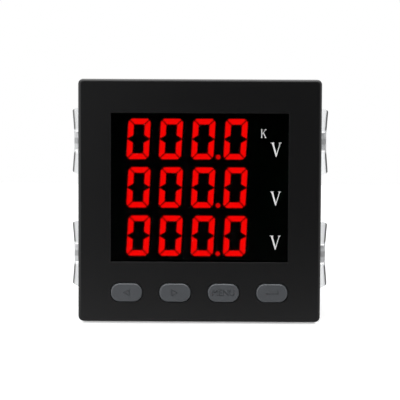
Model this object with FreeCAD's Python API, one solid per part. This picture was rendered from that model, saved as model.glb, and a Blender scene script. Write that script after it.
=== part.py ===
# Three-row digital panel meter on a 96 mm square bezel, with four keys, a dark display window,
# red seven-segment rows, folded steel spring clips on side rails, and screw terminals at the rear.
#
# Millimetres. +X is to the reader's right, +Y runs into the panel, +Z is up.
# The origin is the centre of the bezel's rear rim, which seats on the front of the panel (y = 0).

import FreeCAD
import Part
import math
import os

# Case
case_width = 90.0
case_height = 90.0
case_length = 74.0
case_wall = 2.0
case_corner_radius = 1.5
collar_length = 2.5
rail_depth = 2.0

# Bezel
bezel_overlap = 3.0
bezel_depth = 9.0
bezel_corner_radius = 2.0
bezel_edge_radius = 1.2
seat_play = 0.2

# Display window
window_side_margin = 13.0
window_top_margin = 13.4
window_bottom_margin = 23.8
window_recess = 0.9
window_chamfer = 0.12
lens_thickness = 2.0
lens_overlap = 1.5
lens_play = 0.15
lens_setback = 0.1

# Keys and the switches behind them
key_names = ("left", "right", "menu", "enter")
key_width = 12.4
key_height = 7.3
key_corner_radius = 3.2
key_edge_chamfer = 0.55
key_bottom_margin = 11.62
key_proud = 0.8
key_gap = 0.2
key_travel = 0.5
key_rest_gap = 0.05
key_flange_overlap = 0.9
key_flange_thickness = 1.1
key_stem_radius = 1.6
switch_size = 6.0
switch_height = 3.5
plunger_radius = 1.7
plunger_proud = 1.5
plunger_engagement = 0.6
plunger_play = 0.05
plunger_bottom_gap = 0.2

# Seven-segment rows
row_names = ("top", "middle", "bottom")
digits_in_row = 4
point_after_digit = 3
row_end_margin = 0.6
row_gap = 0.2
line_space = 3.2
digit_pitch = 12.8
module_end_gap = 0.25
module_depth = 8.0
module_offset_x = -5.05
module_lens_gap = 0.4
digit_width = 8.75
digit_slant_degrees = 3.3
stroke = 2.2
stroke_gap = 0.42
digit_corner_cut = 1.25
middle_bar_setback = 0.45
point_radius = 0.95
segment_depth = 0.9

# Display board, its bosses and its screws
board_thickness = 1.6
board_case_gap = 0.2
board_hook_gap = 0.6
boss_radius = 2.3
boss_inset = 2.5
boss_lens_gap = 0.45
screw_shank_radius = 1.0
screw_play = 0.1
screw_length = 7.0
screw_head_radius = 1.9
screw_head_height = 1.4

# Snap hooks that hold the bezel and the rear cover on the case
hook_width = 8.0
hook_thickness = 1.4
hook_x = 26.0
hook_play = 0.2
hook_catch_y = 5.5
hook_barb_length = 2.6
hook_barb_flat = 0.6
hook_barb_height = 1.6

# Ventilation slots in the top and bottom of the case
vent_count = 12
vent_pitch = 4.5
vent_width = 1.8
vent_start = 20.0
vent_length = 26.0

# Side rails and their ratchet teeth
clip_z = 23.0
rail_rear_margin = 24.0
rail_slot_width = 7.8
rail_channel_width = 9.8
rail_web = 1.2
rail_lip = 0.7
tooth_pitch = 2.0
tooth_height = 0.45
tooth_width = 4.0

# Spring clips that slide in the rails
sheet = 0.5
sheet_bend_radius = 0.45
slide_play = 0.05
clip_plate_width = 9.2
clip_plate_length = 12.0
clip_rest_gap = 6.0
clip_wing_length = 7.0
clip_tab_width = 7.1
clip_tab_reach = 6.35
clip_half_span = 13.2
clip_foot_gap = 1.6
clip_wing_rise = 4.15
clip_lip_width = 0.65
clip_flare_degrees = 4.5
clip_tip_radius = 1.5
clip_relief = 0.4
clip_rib_width = 1.6
clip_rib_height = 0.4
clip_rib_margin = 0.9
pawl_width = 2.6
pawl_length = 6.0
pawl_slot = 0.5
pawl_drop = 0.25
pawl_end_margin = 2.5

# Measuring board (upper) and power board (lower), which lie flat in the case
board_inset = 16.0
board_front_y = 14.5
board_rear_gap = 0.2
board_side_gap = 0.3
guide_reach = 1.8
guide_thickness = 1.2
guide_play = 0.1
socket_width = 28.0
socket_height = 5.0
socket_length = 8.5
pin_count = 10
pin_pitch = 2.54
pin_size = 0.64
pin_entry = 5.0
pin_play = 0.12
pin_tail = 4.0

# Terminal blocks
poles = 6
pole_pitch = 9.5
block_end_wall = 0.8
block_depth = 12.7
block_play = 0.3
block_chamfer = 2.0
well_radius = 2.4
cage_width = 5.6
cage_height = 6.4
cage_depth = 6.5
cage_wall = 0.8
cage_play = 0.1
cage_lift = 1.4
cage_setback = 1.6
wire_window_width = 3.8
wire_window_height = 3.6
clamp_head_radius = 2.1
clamp_head_height = 2.0
clamp_shank_radius = 1.4
clamp_shank_play = 0.08
clamp_shank_length = 1.6
pole_groove_width = 0.8
pole_groove_depth = 0.6

# Rear cover
cover_thickness = 2.0
cover_play = 0.1
cover_hook_length = 8.0
cover_vent_count = 9
cover_vent_pitch = 5.0
cover_vent_height = 20.0

# Voltage transformers and their input resistors, on the measuring board
transformer_count = 3
transformer_size = 18.0
transformer_height = 16.0
transformer_chamfer = 1.0
transformer_pitch = 22.5
transformer_rear_gap = 13.0
resistor_radius = 1.6
resistor_length = 9.0
resistor_block_gap = 14.0
seat_gap = 0.05

# Power supply parts, on the power board
core_length = 20.0
core_depth = 8.0
core_height = 16.0
core_leg = 4.0
core_side_inset = 20.7
core_front_inset = 23.5
winding_gap = 0.15
winding_wrap = 3.2
can_chamfer = 0.5
bulk_can_radius = 5.0
bulk_can_height = 18.0
bulk_can_x = 4.0
bulk_can_rear_inset = 25.8
output_can_radius = 4.0
output_can_height = 12.0
output_can_side_inset = 20.7
output_can_front_inset = 9.5
filter_width = 6.0
filter_length = 13.0
filter_height = 12.0
filter_x = 16.0
filter_rear_gap = 11.3
varistor_radius = 5.0
varistor_thickness = 4.0
varistor_x = 28.0
varistor_rear_inset = 17.8
rectifier_width = 8.5
rectifier_length = 6.5
rectifier_height = 3.0
rectifier_x = 18.0
rectifier_filter_gap = 4.25
controller_width = 9.5
controller_length = 6.5
controller_height = 3.5
controller_x = 2.0

# Chips and crystal on the back of the display board
chip_row_z = 8.0
processor_size = 10.0
processor_height = 1.4
driver_width = 7.5
driver_length = 10.0
driver_height = 2.3
driver_x = -20.0
crystal_width = 11.0
crystal_length = 4.5
crystal_height = 3.5
crystal_x = 16.0

# Bezel sizes and depths that follow
bezel_width = case_width + 2 * bezel_overlap
bezel_height = case_height + 2 * bezel_overlap
bezel_face = -bezel_depth
lens_front = bezel_face + window_recess
lens_rear = lens_front + lens_thickness
front_inner = lens_rear + lens_setback
window_width = bezel_width - 2 * window_side_margin
window_top = bezel_height / 2 - window_top_margin
window_bottom = -bezel_height / 2 + window_bottom_margin
window_height = window_top - window_bottom
window_z = (window_top + window_bottom) / 2
key_z = -bezel_height / 2 + key_bottom_margin
key_pitch = (window_width - key_width) / (len(key_names) - 1)

# Rows and the display board
rows = len(row_names)
row_pitch = (window_height - 2 * row_end_margin) / rows
digit_height = row_pitch - line_space
module_front = lens_rear + module_lens_gap
module_height = row_pitch - row_gap
module_width = digits_in_row * digit_pitch - 2 * module_end_gap
display_board_front = module_front + module_depth
display_board_rear = display_board_front + board_thickness
switch_front = display_board_front - switch_height
plunger_tip = switch_front - plunger_proud

# Inside of the case
inner_width = case_width - 2 * rail_depth - 2 * case_wall
inner_height = case_height - 2 * case_wall
case_side = case_width / 2
wall_side = case_side - rail_depth
hook_outer_z = inner_height / 2 - hook_play
display_board_width = inner_width - 2 * board_case_gap
display_board_height = 2 * (hook_outer_z - hook_thickness - board_hook_gap)
boss_x = display_board_width / 2 - boss_inset
upper_boss_z = display_board_height / 2 - boss_inset
lower_boss_z = window_bottom - lens_overlap - lens_play - boss_lens_gap - boss_radius
rail_end = case_length - rail_rear_margin
board_level = case_height / 2 - board_inset
board_outer = board_level + board_thickness
board_width = inner_width - 2 * board_side_gap
cover_inner = case_length - cover_thickness
board_rear_y = cover_inner - board_rear_gap
cover_catch_y = cover_inner - cover_hook_length

# Power supply parts
core_x = core_side_inset - board_width / 2
core_y = board_front_y + core_front_inset
output_can_x = output_can_side_inset - board_width / 2
output_can_y = board_front_y + output_can_front_inset
bulk_can_y = board_rear_y - bulk_can_rear_inset
filter_y = board_rear_y - filter_rear_gap - filter_length / 2
varistor_y = board_rear_y - varistor_rear_inset
rectifier_y = filter_y - (filter_length + rectifier_length) / 2 - rectifier_filter_gap
controller_y = (board_front_y + pin_tail + bulk_can_y - bulk_can_radius) / 2

# Clips and terminals
plate_x = case_side - rail_lip - slide_play - sheet / 2
clip_tab_y = clip_rest_gap + clip_wing_length
clip_foot_x = case_side + clip_foot_gap
clip_wing_x = clip_foot_x + clip_wing_rise
clip_lip_x = clip_wing_x + clip_lip_width
clip_tab_x = case_side + clip_tab_reach
block_width = poles * pole_pitch + 2 * block_end_wall
block_front = case_length - block_depth
cage_bottom = board_outer + cage_lift
cage_top = cage_bottom + cage_height
cage_rear = case_length - cage_setback - cage_play
cage_mid_y = cage_rear - cage_depth / 2


def vec(x, y, z):
    return FreeCAD.Vector(x, y, z)


def span(centre, size):
    return (centre - size / 2, centre + size / 2)


def grown(pair, amount):
    return (pair[0] - amount, pair[1] + amount)


def block(x, y, z):
    """A box from three (low, high) pairs."""
    return Part.makeBox(x[1] - x[0], y[1] - y[0], z[1] - z[0], vec(x[0], y[0], z[0]))


def rod(radius, start, end):
    """A cylinder between two points."""
    axis = vec(*end) - vec(*start)
    return Part.makeCylinder(radius, axis.Length, vec(*start), axis)


def joined(shapes):
    """One clean solid from shapes that touch or overlap."""
    first, *others = shapes
    return first.multiFuse(others).removeSplitter() if others else first


def group(shapes):
    """Separate like solids that share one node."""
    return Part.makeCompound(shapes)


def mirrored_x(shape):
    return shape.mirror(vec(0, 0, 0), vec(1, 0, 0))


def mirrored_z(shape):
    return shape.mirror(vec(0, 0, 0), vec(0, 0, 1))


def prism(corners, along):
    """A closed polygon of points, extruded along a vector."""
    return Part.Face(Part.makePolygon(corners + corners[:1])).extrude(along)


def prism_x(points, x):
    return prism([vec(x[0], py, pz) for py, pz in points], vec(x[1] - x[0], 0, 0))


def prism_y(points, y):
    return prism([vec(px, y[0], pz) for px, pz in points], vec(0, y[1] - y[0], 0))


def prism_z(points, z):
    return prism([vec(px, py, z[0]) for px, py in points], vec(0, 0, z[1] - z[0]))


def rounded_plate(x, y, z, radius):
    """A box whose four edges along Y are rounded."""
    solid = block(x, y, z)
    along_y = [e for e in solid.Edges if abs(e.tangentAt(e.FirstParameter).y) > 0.99]
    return solid.makeFillet(radius, along_y)


def edges_at(shape, y, x, z):
    """The edges that lie at one depth and inside an (x, z) region."""
    found = []
    for edge in shape.Edges:
        b = edge.BoundBox
        at_depth = abs(b.YMin - y) < 1e-6 and abs(b.YMax - y) < 1e-6
        if at_depth and b.XMin >= x[0] and b.XMax <= x[1] and b.ZMin >= z[0] and b.ZMax <= z[1]:
            found.append(edge)
    return found


def square_to(before, after):
    """The unit vector to the left of the run from one point to the next."""
    run = (after - before).normalize()
    return vec(-run.y, run.x, 0)


def folded_sheet(path, z):
    """Sheet steel that follows (x, y) points with a rounded fold at each, extruded along Z."""
    points = [vec(px, py, z[0]) for px, py in path]
    first_side = square_to(points[0], points[1]) * (sheet / 2)
    last_side = square_to(points[-2], points[-1]) * (sheet / 2)
    edges = []
    for side in (1, -1):
        start = points[0] + first_side * side
        for i in range(1, len(points) - 1):
            before = (points[i] - points[i - 1]).normalize()
            after = (points[i + 1] - points[i]).normalize()
            way = 1 if before.cross(after).z > 0 else -1
            setback = sheet_bend_radius * math.tan(before.getAngle(after) / 2)
            enter = points[i] - before * setback
            leave = points[i] + after * setback
            centre = enter + vec(-before.y, before.x, 0) * (way * sheet_bend_radius)
            middle = centre + (points[i] - centre).normalize() * sheet_bend_radius
            shift = side * way * sheet / 2
            arc = [p + (centre - p).normalize() * shift for p in (enter, middle, leave)]
            edges += [Part.LineSegment(start, arc[0]), Part.Arc(*arc)]
            start = arc[2]
        edges.append(Part.LineSegment(start, points[-1] + last_side * side))
    edges.append(Part.LineSegment(points[0] + first_side, points[0] - first_side))
    edges.append(Part.LineSegment(points[-1] + last_side, points[-1] - last_side))
    outline = Part.Wire(Part.sortEdges([edge.toShape() for edge in edges])[0])
    return Part.Face(outline).extrude(vec(0, 0, z[1] - z[0]))


# Bezel and window

def key_x(index):
    return (index - (len(key_names) - 1) / 2) * key_pitch


def window_sides(amount=0.0):
    return grown(span(0, window_width), amount), grown((window_bottom, window_top), amount)


def boss_centres():
    return [(x, z) for x in (-boss_x, boss_x) for z in (upper_boss_z, lower_boss_z)]


def bezel_hook(x):
    """A cantilever hook whose barb catches in a window of the case's top wall."""
    inside = hook_outer_z - hook_thickness
    end = hook_catch_y + hook_barb_length
    arm = block(span(x, hook_width), (front_inner, end), (inside, hook_outer_z))
    root = hook_outer_z - hook_thickness / 2
    tip = hook_outer_z + hook_barb_height
    barb = prism_x([(hook_catch_y, root), (hook_catch_y, tip), (hook_catch_y + hook_barb_flat, tip),
                    (end, hook_outer_z), (end, root)], span(x, hook_width))
    return joined([arm, barb])


def bezel_boss(x, z):
    """A boss for one of the display board's screws, with its pilot hole."""
    pilot_end = display_board_rear - screw_length - screw_play
    boss = rod(boss_radius, (x, front_inner, z), (x, display_board_front, z))
    return boss.cut(rod(screw_shank_radius + screw_play, (x, pilot_end, z),
                        (x, display_board_rear, z)))


def front_bezel():
    wide, tall = span(0, bezel_width), span(0, bezel_height)
    shell = rounded_plate(wide, (bezel_face, 0), tall, bezel_corner_radius)
    shell = shell.makeFillet(bezel_edge_radius, edges_at(shell, bezel_face, wide, tall))
    seat_x, seat_z = span(0, case_width + 2 * seat_play), span(0, case_height + 2 * seat_play)
    shell = shell.cut(rounded_plate(seat_x, (front_inner, bezel_depth), seat_z, case_corner_radius))
    opening_x, opening_z = window_sides()
    shell = shell.cut(block(opening_x, (2 * bezel_face, 0), opening_z))
    rim = edges_at(shell, bezel_face, grown(opening_x, seat_play), grown(opening_z, seat_play))
    shell = shell.makeChamfer(window_chamfer, rim)
    pocket_x, pocket_z = window_sides(lens_overlap + lens_play)
    cuts = [block(pocket_x, (lens_front, 0), pocket_z)]
    for i in range(len(key_names)):
        hole_x = grown(span(key_x(i), key_width), key_gap)
        hole_z = grown(span(key_z, key_height), key_gap)
        cuts.append(rounded_plate(hole_x, (2 * bezel_face, 0), hole_z, key_corner_radius + key_gap))
    hooks = [bezel_hook(x) for x in (-hook_x, hook_x)]
    hooks += [mirrored_z(hook) for hook in hooks]
    return joined([shell.cut(cuts)] + [bezel_boss(x, z) for x, z in boss_centres()] + hooks)


def display_window():
    sides_x, sides_z = window_sides(lens_overlap)
    return block(sides_x, (lens_front, lens_rear), sides_z)


# Keys and switches

def keycap(index):
    x, z = span(key_x(index), key_width), span(key_z, key_height)
    top = bezel_face - key_proud
    cap_rear = front_inner + key_rest_gap
    flange_rear = cap_rear + key_flange_thickness
    cap = rounded_plate(x, (top, cap_rear), z, key_corner_radius)
    cap = cap.makeChamfer(key_edge_chamfer, edges_at(cap, top, x, z))
    flange = rounded_plate(grown(x, key_flange_overlap), (cap_rear, flange_rear),
                           grown(z, key_flange_overlap), key_corner_radius)
    stem = rod(key_stem_radius, (key_x(index), flange_rear, key_z),
               (key_x(index), plunger_tip, key_z))
    return joined([cap, flange, stem])


def switch_body(index):
    body = block(span(key_x(index), switch_size), (switch_front, display_board_front),
                 span(key_z, switch_size))
    well_end = switch_front + plunger_engagement + key_travel + plunger_bottom_gap
    return body.cut(rod(plunger_radius + plunger_play, (key_x(index), plunger_tip, key_z),
                        (key_x(index), well_end, key_z)))


def switch_plunger(index):
    return rod(plunger_radius, (key_x(index), plunger_tip, key_z),
               (key_x(index), switch_front + plunger_engagement, key_z))


# Seven-segment rows

def row_z(row):
    return window_z + ((rows - 1) / 2 - row) * row_pitch


def digit_x(place):
    return module_offset_x + (place - (digits_in_row - 1) / 2) * digit_pitch


def end_bar():
    """The top bar of a digit, mitred at 45 degrees at both ends."""
    a, b, cut = digit_width / 2, digit_height / 2, digit_corner_cut
    half_gap = stroke_gap / math.sqrt(2)
    left = [(-a + stroke + half_gap, b - stroke),
            (-a + (cut + half_gap) / 2, b - (cut - half_gap) / 2), (-a + cut, b)]
    return left + [(-px, pz) for px, pz in reversed(left)]


def side_bar():
    """The upper left bar of a digit. Its foot is cut along the end of the middle bar."""
    a, b, cut = digit_width / 2, digit_height / 2, digit_corner_cut
    half_gap = stroke_gap / math.sqrt(2)
    return [(-a, stroke_gap / 2), (-a, b - cut),
            (-a + (cut - half_gap) / 2, b - (cut + half_gap) / 2),
            (-a + stroke, b - stroke - half_gap), (-a + stroke, stroke / 2 + stroke_gap)]


def middle_bar():
    a = digit_width / 2
    left = [(-a + stroke, -stroke / 2), (-a + middle_bar_setback, 0), (-a + stroke, stroke / 2)]
    return left + [(-px, pz) for px, pz in reversed(left)]


def bar(outline, x_sign, z_sign, place, row):
    """One segment, mirrored as asked, leaned over with its digit and put in its place."""
    lean = math.tan(math.radians(digit_slant_degrees))
    points = [(px * x_sign + pz * z_sign * lean, pz * z_sign) for px, pz in outline]
    placed = [(digit_x(place) + px, row_z(row) + pz) for px, pz in points]
    return prism_y(placed, (module_front, module_front + segment_depth))


def decimal_point(place, row):
    lean = digit_height / 2 * math.tan(math.radians(digit_slant_degrees))
    x = digit_x(place) + digit_pitch / 2 - lean
    z = row_z(row) - digit_height / 2 + point_radius
    return rod(point_radius, (x, module_front, z), (x, module_front + segment_depth, z))


def lit_segments(row):
    """The six bars that show a zero in each place, and one decimal point."""
    bars = []
    for place in range(digits_in_row):
        bars += [bar(end_bar(), 1, z_sign, place, row) for z_sign in (1, -1)]
        bars += [bar(side_bar(), x_sign, z_sign, place, row) for x_sign in (1, -1) for z_sign in (1, -1)]
    return group(bars + [decimal_point(point_after_digit - 1, row)])


def unlit_segments(row):
    bars = [bar(middle_bar(), 1, 1, place, row) for place in range(digits_in_row)]
    dark = [place for place in range(digits_in_row - 1) if place != point_after_digit - 1]
    return group(bars + [decimal_point(place, row) for place in dark])


def led_module(row):
    """The black reflector block. Its face has a cell for each bar and point."""
    body = block(span(module_offset_x, module_width), (module_front, display_board_front),
                 span(row_z(row), module_height))
    return body.cut(lit_segments(row).Solids + unlit_segments(row).Solids)


# Display board

def display_board():
    board = block(span(0, display_board_width), (display_board_front, display_board_rear),
                  span(0, display_board_height))
    return board.cut([rod(screw_shank_radius + screw_play, (x, bezel_face, z), (x, case_length, z))
                      for x, z in boss_centres()])


def display_board_screws():
    screws = []
    for x, z in boss_centres():
        head = rod(screw_head_radius, (x, display_board_rear, z),
                   (x, display_board_rear + screw_head_height, z))
        shank = rod(screw_shank_radius, (x, display_board_rear - screw_length, z),
                    (x, display_board_rear, z))
        screws.append(joined([head, shank]))
    return group(screws)


def behind_display(x, size_x, size_z, height):
    return block(span(x, size_x), (display_board_rear, display_board_rear + height),
                 span(chip_row_z, size_z))


# Case

def side_rail(z):
    """A rail on the right-hand wall: two lipped webs with the saw teeth between them."""
    depth = (collar_length, rail_end)
    root = wall_side - case_wall / 2
    web_end = rail_channel_width / 2 + rail_web
    parts = []
    for side in (1, -1):
        web_z = sorted((z + side * rail_channel_width / 2, z + side * web_end))
        lip_z = sorted((z + side * rail_slot_width / 2, z + side * web_end))
        parts.append(block((root, case_side), depth, web_z))
        parts.append(block((case_side - rail_lip, case_side), depth, lip_z))
    count = int((rail_end - collar_length) // tooth_pitch)
    outline = [(root, collar_length)]
    for i in range(count):
        start = collar_length + i * tooth_pitch
        outline += [(wall_side, start), (wall_side + tooth_height, start + tooth_pitch)]
    outline.append((root, collar_length + count * tooth_pitch))
    return parts + [prism_z(outline, span(z, tooth_width))]


def board_guides():
    """Ribs on the right-hand inner wall, either side of each flat board, and a stop before it."""
    wall = inner_width / 2
    reach = (wall - guide_reach, wall + case_wall / 2)
    low = board_level - guide_play - guide_thickness
    high = board_outer + guide_play + guide_thickness
    stop = board_front_y - guide_play
    ribs = [block(reach, (stop, cover_inner), (low, low + guide_thickness)),
            block(reach, (stop, cover_inner), (high - guide_thickness, high)),
            block(reach, (stop - guide_thickness, stop), (low, high))]
    return ribs + [mirrored_z(rib) for rib in ribs]


def top_wall_cuts():
    """The bezel hooks' windows, the ventilation slots and the notch for the terminal block."""
    through = (hook_outer_z - hook_thickness / 2, case_height)
    catch = (hook_catch_y - hook_play, hook_catch_y + hook_barb_length + hook_play)
    cuts = [block(grown(span(x, hook_width), hook_play), catch, through) for x in (-hook_x, hook_x)]
    for i in range(vent_count):
        x = (i - (vent_count - 1) / 2) * vent_pitch
        cuts.append(block(span(x, vent_width), (vent_start, vent_start + vent_length), through))
    notch_y = (block_front - block_play, 2 * case_length)
    return cuts + [block(grown(span(0, block_width), block_play), notch_y, through)]


def cover_window():
    """The hole in the right-hand wall that a rear cover hook's barb catches in."""
    depth = (cover_catch_y - hook_play, cover_catch_y + hook_barb_length + hook_play)
    return block((wall_side - 2 * case_wall, case_side), depth, grown(span(0, hook_width), hook_play))


def housing():
    tall = span(0, case_height)
    collar = rounded_plate(span(0, case_width), (front_inner, collar_length), tall, case_corner_radius)
    body = rounded_plate(span(0, 2 * wall_side), (0, case_length), tall, case_corner_radius)
    inside = block(span(0, inner_width), (bezel_face, 2 * case_length), span(0, inner_height))
    shell = joined([collar, body]).cut(inside)
    right = side_rail(clip_z) + side_rail(-clip_z) + board_guides()
    shell = joined([shell] + right + [mirrored_x(part) for part in right])
    cuts = top_wall_cuts()
    cuts += [mirrored_z(cut) for cut in cuts]
    return shell.cut(cuts + [cover_window(), mirrored_x(cover_window())])


# Rear cover

def cover_hook():
    """A hook at the right of the rear cover, which points forwards into the case."""
    outer = inner_width / 2 - hook_play
    root = outer - hook_thickness / 2
    tip = outer + hook_barb_height
    end = cover_catch_y + hook_barb_length
    arm = block((outer - hook_thickness, outer), (cover_catch_y, case_length - cover_thickness / 2),
                span(0, hook_width))
    barb = prism_z([(root, cover_catch_y), (outer, cover_catch_y), (tip, end - hook_barb_flat),
                    (tip, end), (root, end)], span(0, hook_width))
    return [arm, barb]


def rear_cover():
    depth = (cover_inner, case_length)
    plate = block(grown(span(0, inner_width), -cover_play), depth,
                  grown(span(0, inner_height), -cover_play))
    notch = block(grown(span(0, block_width), block_play), grown(depth, cover_thickness),
                  (board_outer - block_play, case_height))
    cuts = [notch, mirrored_z(notch)]
    for i in range(cover_vent_count):
        x = (i - (cover_vent_count - 1) / 2) * cover_vent_pitch
        cuts.append(block(span(x, vent_width), grown(depth, cover_thickness), span(0, cover_vent_height)))
    hooks = cover_hook()
    return joined([plate.cut(cuts)] + hooks + [mirrored_x(part) for part in hooks])


# Spring clips

def clip_wing():
    """The upper wing: a leaf that slopes out from its foot to a lip, flares, and is rounded."""
    inner_z = clip_tab_width / 2 + clip_relief
    leaf = folded_sheet([(clip_foot_x, clip_rest_gap), (clip_wing_x, clip_tab_y),
                         (clip_lip_x, clip_tab_y)], (inner_z, clip_half_span))
    leaf.rotate(vec(clip_lip_x, clip_tab_y, inner_z), vec(0, 1, 0), clip_flare_degrees)
    flare = math.tan(math.radians(clip_flare_degrees)) * (clip_half_span - inner_z)
    centre_x = clip_lip_x + flare - clip_tip_radius
    centre_z = clip_half_span - clip_tip_radius
    depth = (0, 2 * clip_tab_y)
    corner = block((centre_x, 2 * clip_lip_x), depth, (centre_z, 2 * clip_half_span))
    corner = corner.cut(rod(clip_tip_radius, (centre_x, depth[0], centre_z),
                            (centre_x, depth[1], centre_z)))
    bridge = block((clip_wing_x + sheet_bend_radius / 2, clip_lip_x), span(clip_tab_y, sheet),
                   (clip_tab_width / 2 - clip_relief, inner_z + clip_relief))
    return joined([leaf.cut(corner), bridge])


def mounting_clip():
    """A clip folded from one spring steel sheet, for the right-hand wall, centred on z = 0."""
    fold_end = clip_tab_y + sheet + 2 * sheet_bend_radius
    plate_end = clip_tab_y + clip_plate_length
    pawl_root = plate_end - pawl_end_margin
    pawl_tip = pawl_root - pawl_length
    tab = folded_sheet([(clip_tab_x, clip_tab_y), (plate_x, clip_tab_y), (plate_x, fold_end + sheet)],
                       span(0, clip_tab_width))
    plate = block(span(plate_x, sheet), (fold_end, plate_end), span(0, clip_plate_width))
    slot = block(span(plate_x, 2 * sheet), (pawl_tip - pawl_slot, pawl_root),
                 span(0, pawl_width + 2 * pawl_slot))
    pawl = folded_sheet([(plate_x - pawl_drop, pawl_tip), (plate_x, pawl_root),
                         (plate_x, plate_end)], span(0, pawl_width))
    rib = rounded_plate((case_side + clip_rib_margin, clip_tab_x - clip_rib_margin),
                        (clip_tab_y - sheet / 2 - clip_rib_height, clip_tab_y),
                        span(0, clip_rib_width), clip_rib_width / 3)
    wing = clip_wing()
    return joined([tab, plate.cut(slot), pawl, rib, wing, mirrored_z(wing)])


# Flat boards, sockets and pins, made for the upper board

def flat_board():
    return block(span(0, board_width), (board_front_y, board_rear_y), (board_level, board_outer))


def pin_row():
    """The width of the whole row of pins."""
    return (pin_count - 1) * pin_pitch + pin_size


def link_socket():
    """The socket on the back of the display board, with a slot for the pin row."""
    pin_z = (board_level - pin_size, board_level)
    rear = display_board_rear + socket_length
    body = block(span(0, socket_width), (display_board_rear, rear),
                 span(board_level - pin_size / 2, socket_height))
    return body.cut(block(grown(span(0, pin_row()), pin_play),
                          (rear - pin_entry - pin_play, case_length), grown(pin_z, pin_play)))


def link_pins():
    start = display_board_rear + socket_length - pin_entry
    pins = []
    for i in range(pin_count):
        x = (i - (pin_count - 1) / 2) * pin_pitch
        pins.append(block(span(x, pin_size), (start, board_front_y + pin_tail),
                          (board_level - pin_size, board_level)))
    return group(pins)


# Terminal blocks, made for the upper board

def pole_x(index):
    return (index - (poles - 1) / 2) * pole_pitch


def terminal_block():
    top = case_height / 2
    body = prism_x([(block_front, board_outer), (case_length, board_outer),
                    (case_length, top - block_chamfer), (case_length - block_chamfer, top),
                    (block_front, top)], span(0, block_width))
    out = (cage_rear, 2 * case_length)
    window_middle = cage_bottom + (cage_height - cage_wall) / 2
    cuts = []
    for i in range(poles):
        x = pole_x(i)
        cuts.append(rod(well_radius, (x, cage_mid_y, cage_top), (x, cage_mid_y, case_height)))
        cuts.append(block(grown(span(x, cage_width), cage_play),
                          grown((cage_rear - cage_depth, cage_rear), cage_play),
                          grown((cage_bottom, cage_top), cage_play)))
        cuts.append(block(span(x, wire_window_width), out, span(window_middle, wire_window_height)))
    for i in range(poles - 1):
        cuts.append(block(span(pole_x(i) + pole_pitch / 2, pole_groove_width),
                          (case_length - pole_groove_depth, 2 * case_length), (0, case_height)))
    return body.cut(cuts)


def terminal_cages():
    cages = []
    for i in range(poles):
        x = pole_x(i)
        outer = block(span(x, cage_width), (cage_rear - cage_depth, cage_rear), (cage_bottom, cage_top))
        inner = block(span(x, cage_width - 2 * cage_wall), (block_front, case_length),
                      (cage_bottom + cage_wall, cage_top - cage_wall))
        tapped = rod(clamp_shank_radius + clamp_shank_play, (x, cage_mid_y, cage_top - 2 * cage_wall),
                     (x, cage_mid_y, case_height))
        cages.append(outer.cut([inner, tapped]))
    return group(cages)


def terminal_screws():
    screws = []
    for i in range(poles):
        x = pole_x(i)
        head = rod(clamp_head_radius, (x, cage_mid_y, cage_top),
                   (x, cage_mid_y, cage_top + clamp_head_height))
        shank = rod(clamp_shank_radius, (x, cage_mid_y, cage_top - clamp_shank_length),
                    (x, cage_mid_y, cage_top))
        screws.append(joined([head, shank]))
    return group(screws)


# Parts on the flat boards

def transformer_x(index):
    return (index - (transformer_count - 1) / 2) * transformer_pitch


def voltage_transformer(index):
    """A potted transformer that hangs under the measuring board."""
    rear = case_length - transformer_rear_gap
    body = block(span(transformer_x(index), transformer_size), (rear - transformer_size, rear),
                 (board_level - transformer_height, board_level))
    upright = [e for e in body.Edges if abs(e.tangentAt(e.FirstParameter).z) > 0.99]
    return body.makeChamfer(transformer_chamfer, upright)


def input_resistors():
    """One resistor for each transformer, on the outer side of the measuring board."""
    z = board_outer + resistor_radius + seat_gap
    start = block_front - resistor_block_gap
    return group([rod(resistor_radius, (transformer_x(i), start, z),
                      (transformer_x(i), start + resistor_length, z))
                  for i in range(transformer_count)])


def on_power_board(x, y, width, length, height):
    return block(span(x, width), span(y, length), (-board_level, -board_level + height))


def winding_room():
    """The width of each of the two windows in the core."""
    return (core_length - 3 * core_leg) / 2


def transformer_core():
    """A pair of E cores round the winding: a frame with a middle leg."""
    frame = on_power_board(core_x, core_y, core_length, core_depth, core_height)
    low = -board_level + core_leg
    high = -board_level + core_height - core_leg
    cuts = []
    for side in (1, -1):
        middle = core_x + side * (core_leg + winding_room()) / 2
        cuts.append(block(span(middle, winding_room()), span(core_y, 2 * core_depth), (low, high)))
    return frame.cut(cuts)


def transformer_winding():
    """The wound bobbin, a ring round the core's middle leg."""
    low = -board_level + core_leg + winding_gap
    high = -board_level + core_height - core_leg - winding_gap
    outer_x = span(core_x, core_leg + 2 * (winding_room() - winding_gap))
    outer = block(outer_x, grown(span(core_y, core_depth), winding_wrap), (low, high))
    return outer.cut(block(grown(span(core_x, core_leg), winding_gap),
                           grown(span(core_y, core_depth), winding_gap), (2 * low, 0)))


def standing_can(radius, height, x, y):
    can = rod(radius, (x, y, -board_level), (x, y, -board_level + height))
    top = [e for e in can.Edges if e.BoundBox.ZMin > -board_level + height / 2]
    return can.makeChamfer(can_chamfer, top)


def surge_varistor():
    """A disc that stands on its edge."""
    z = -board_level + varistor_radius + seat_gap
    y = span(varistor_y, varistor_thickness)
    return rod(varistor_radius, (varistor_x, y[0], z), (varistor_x, y[1], z))


# The whole meter

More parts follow.
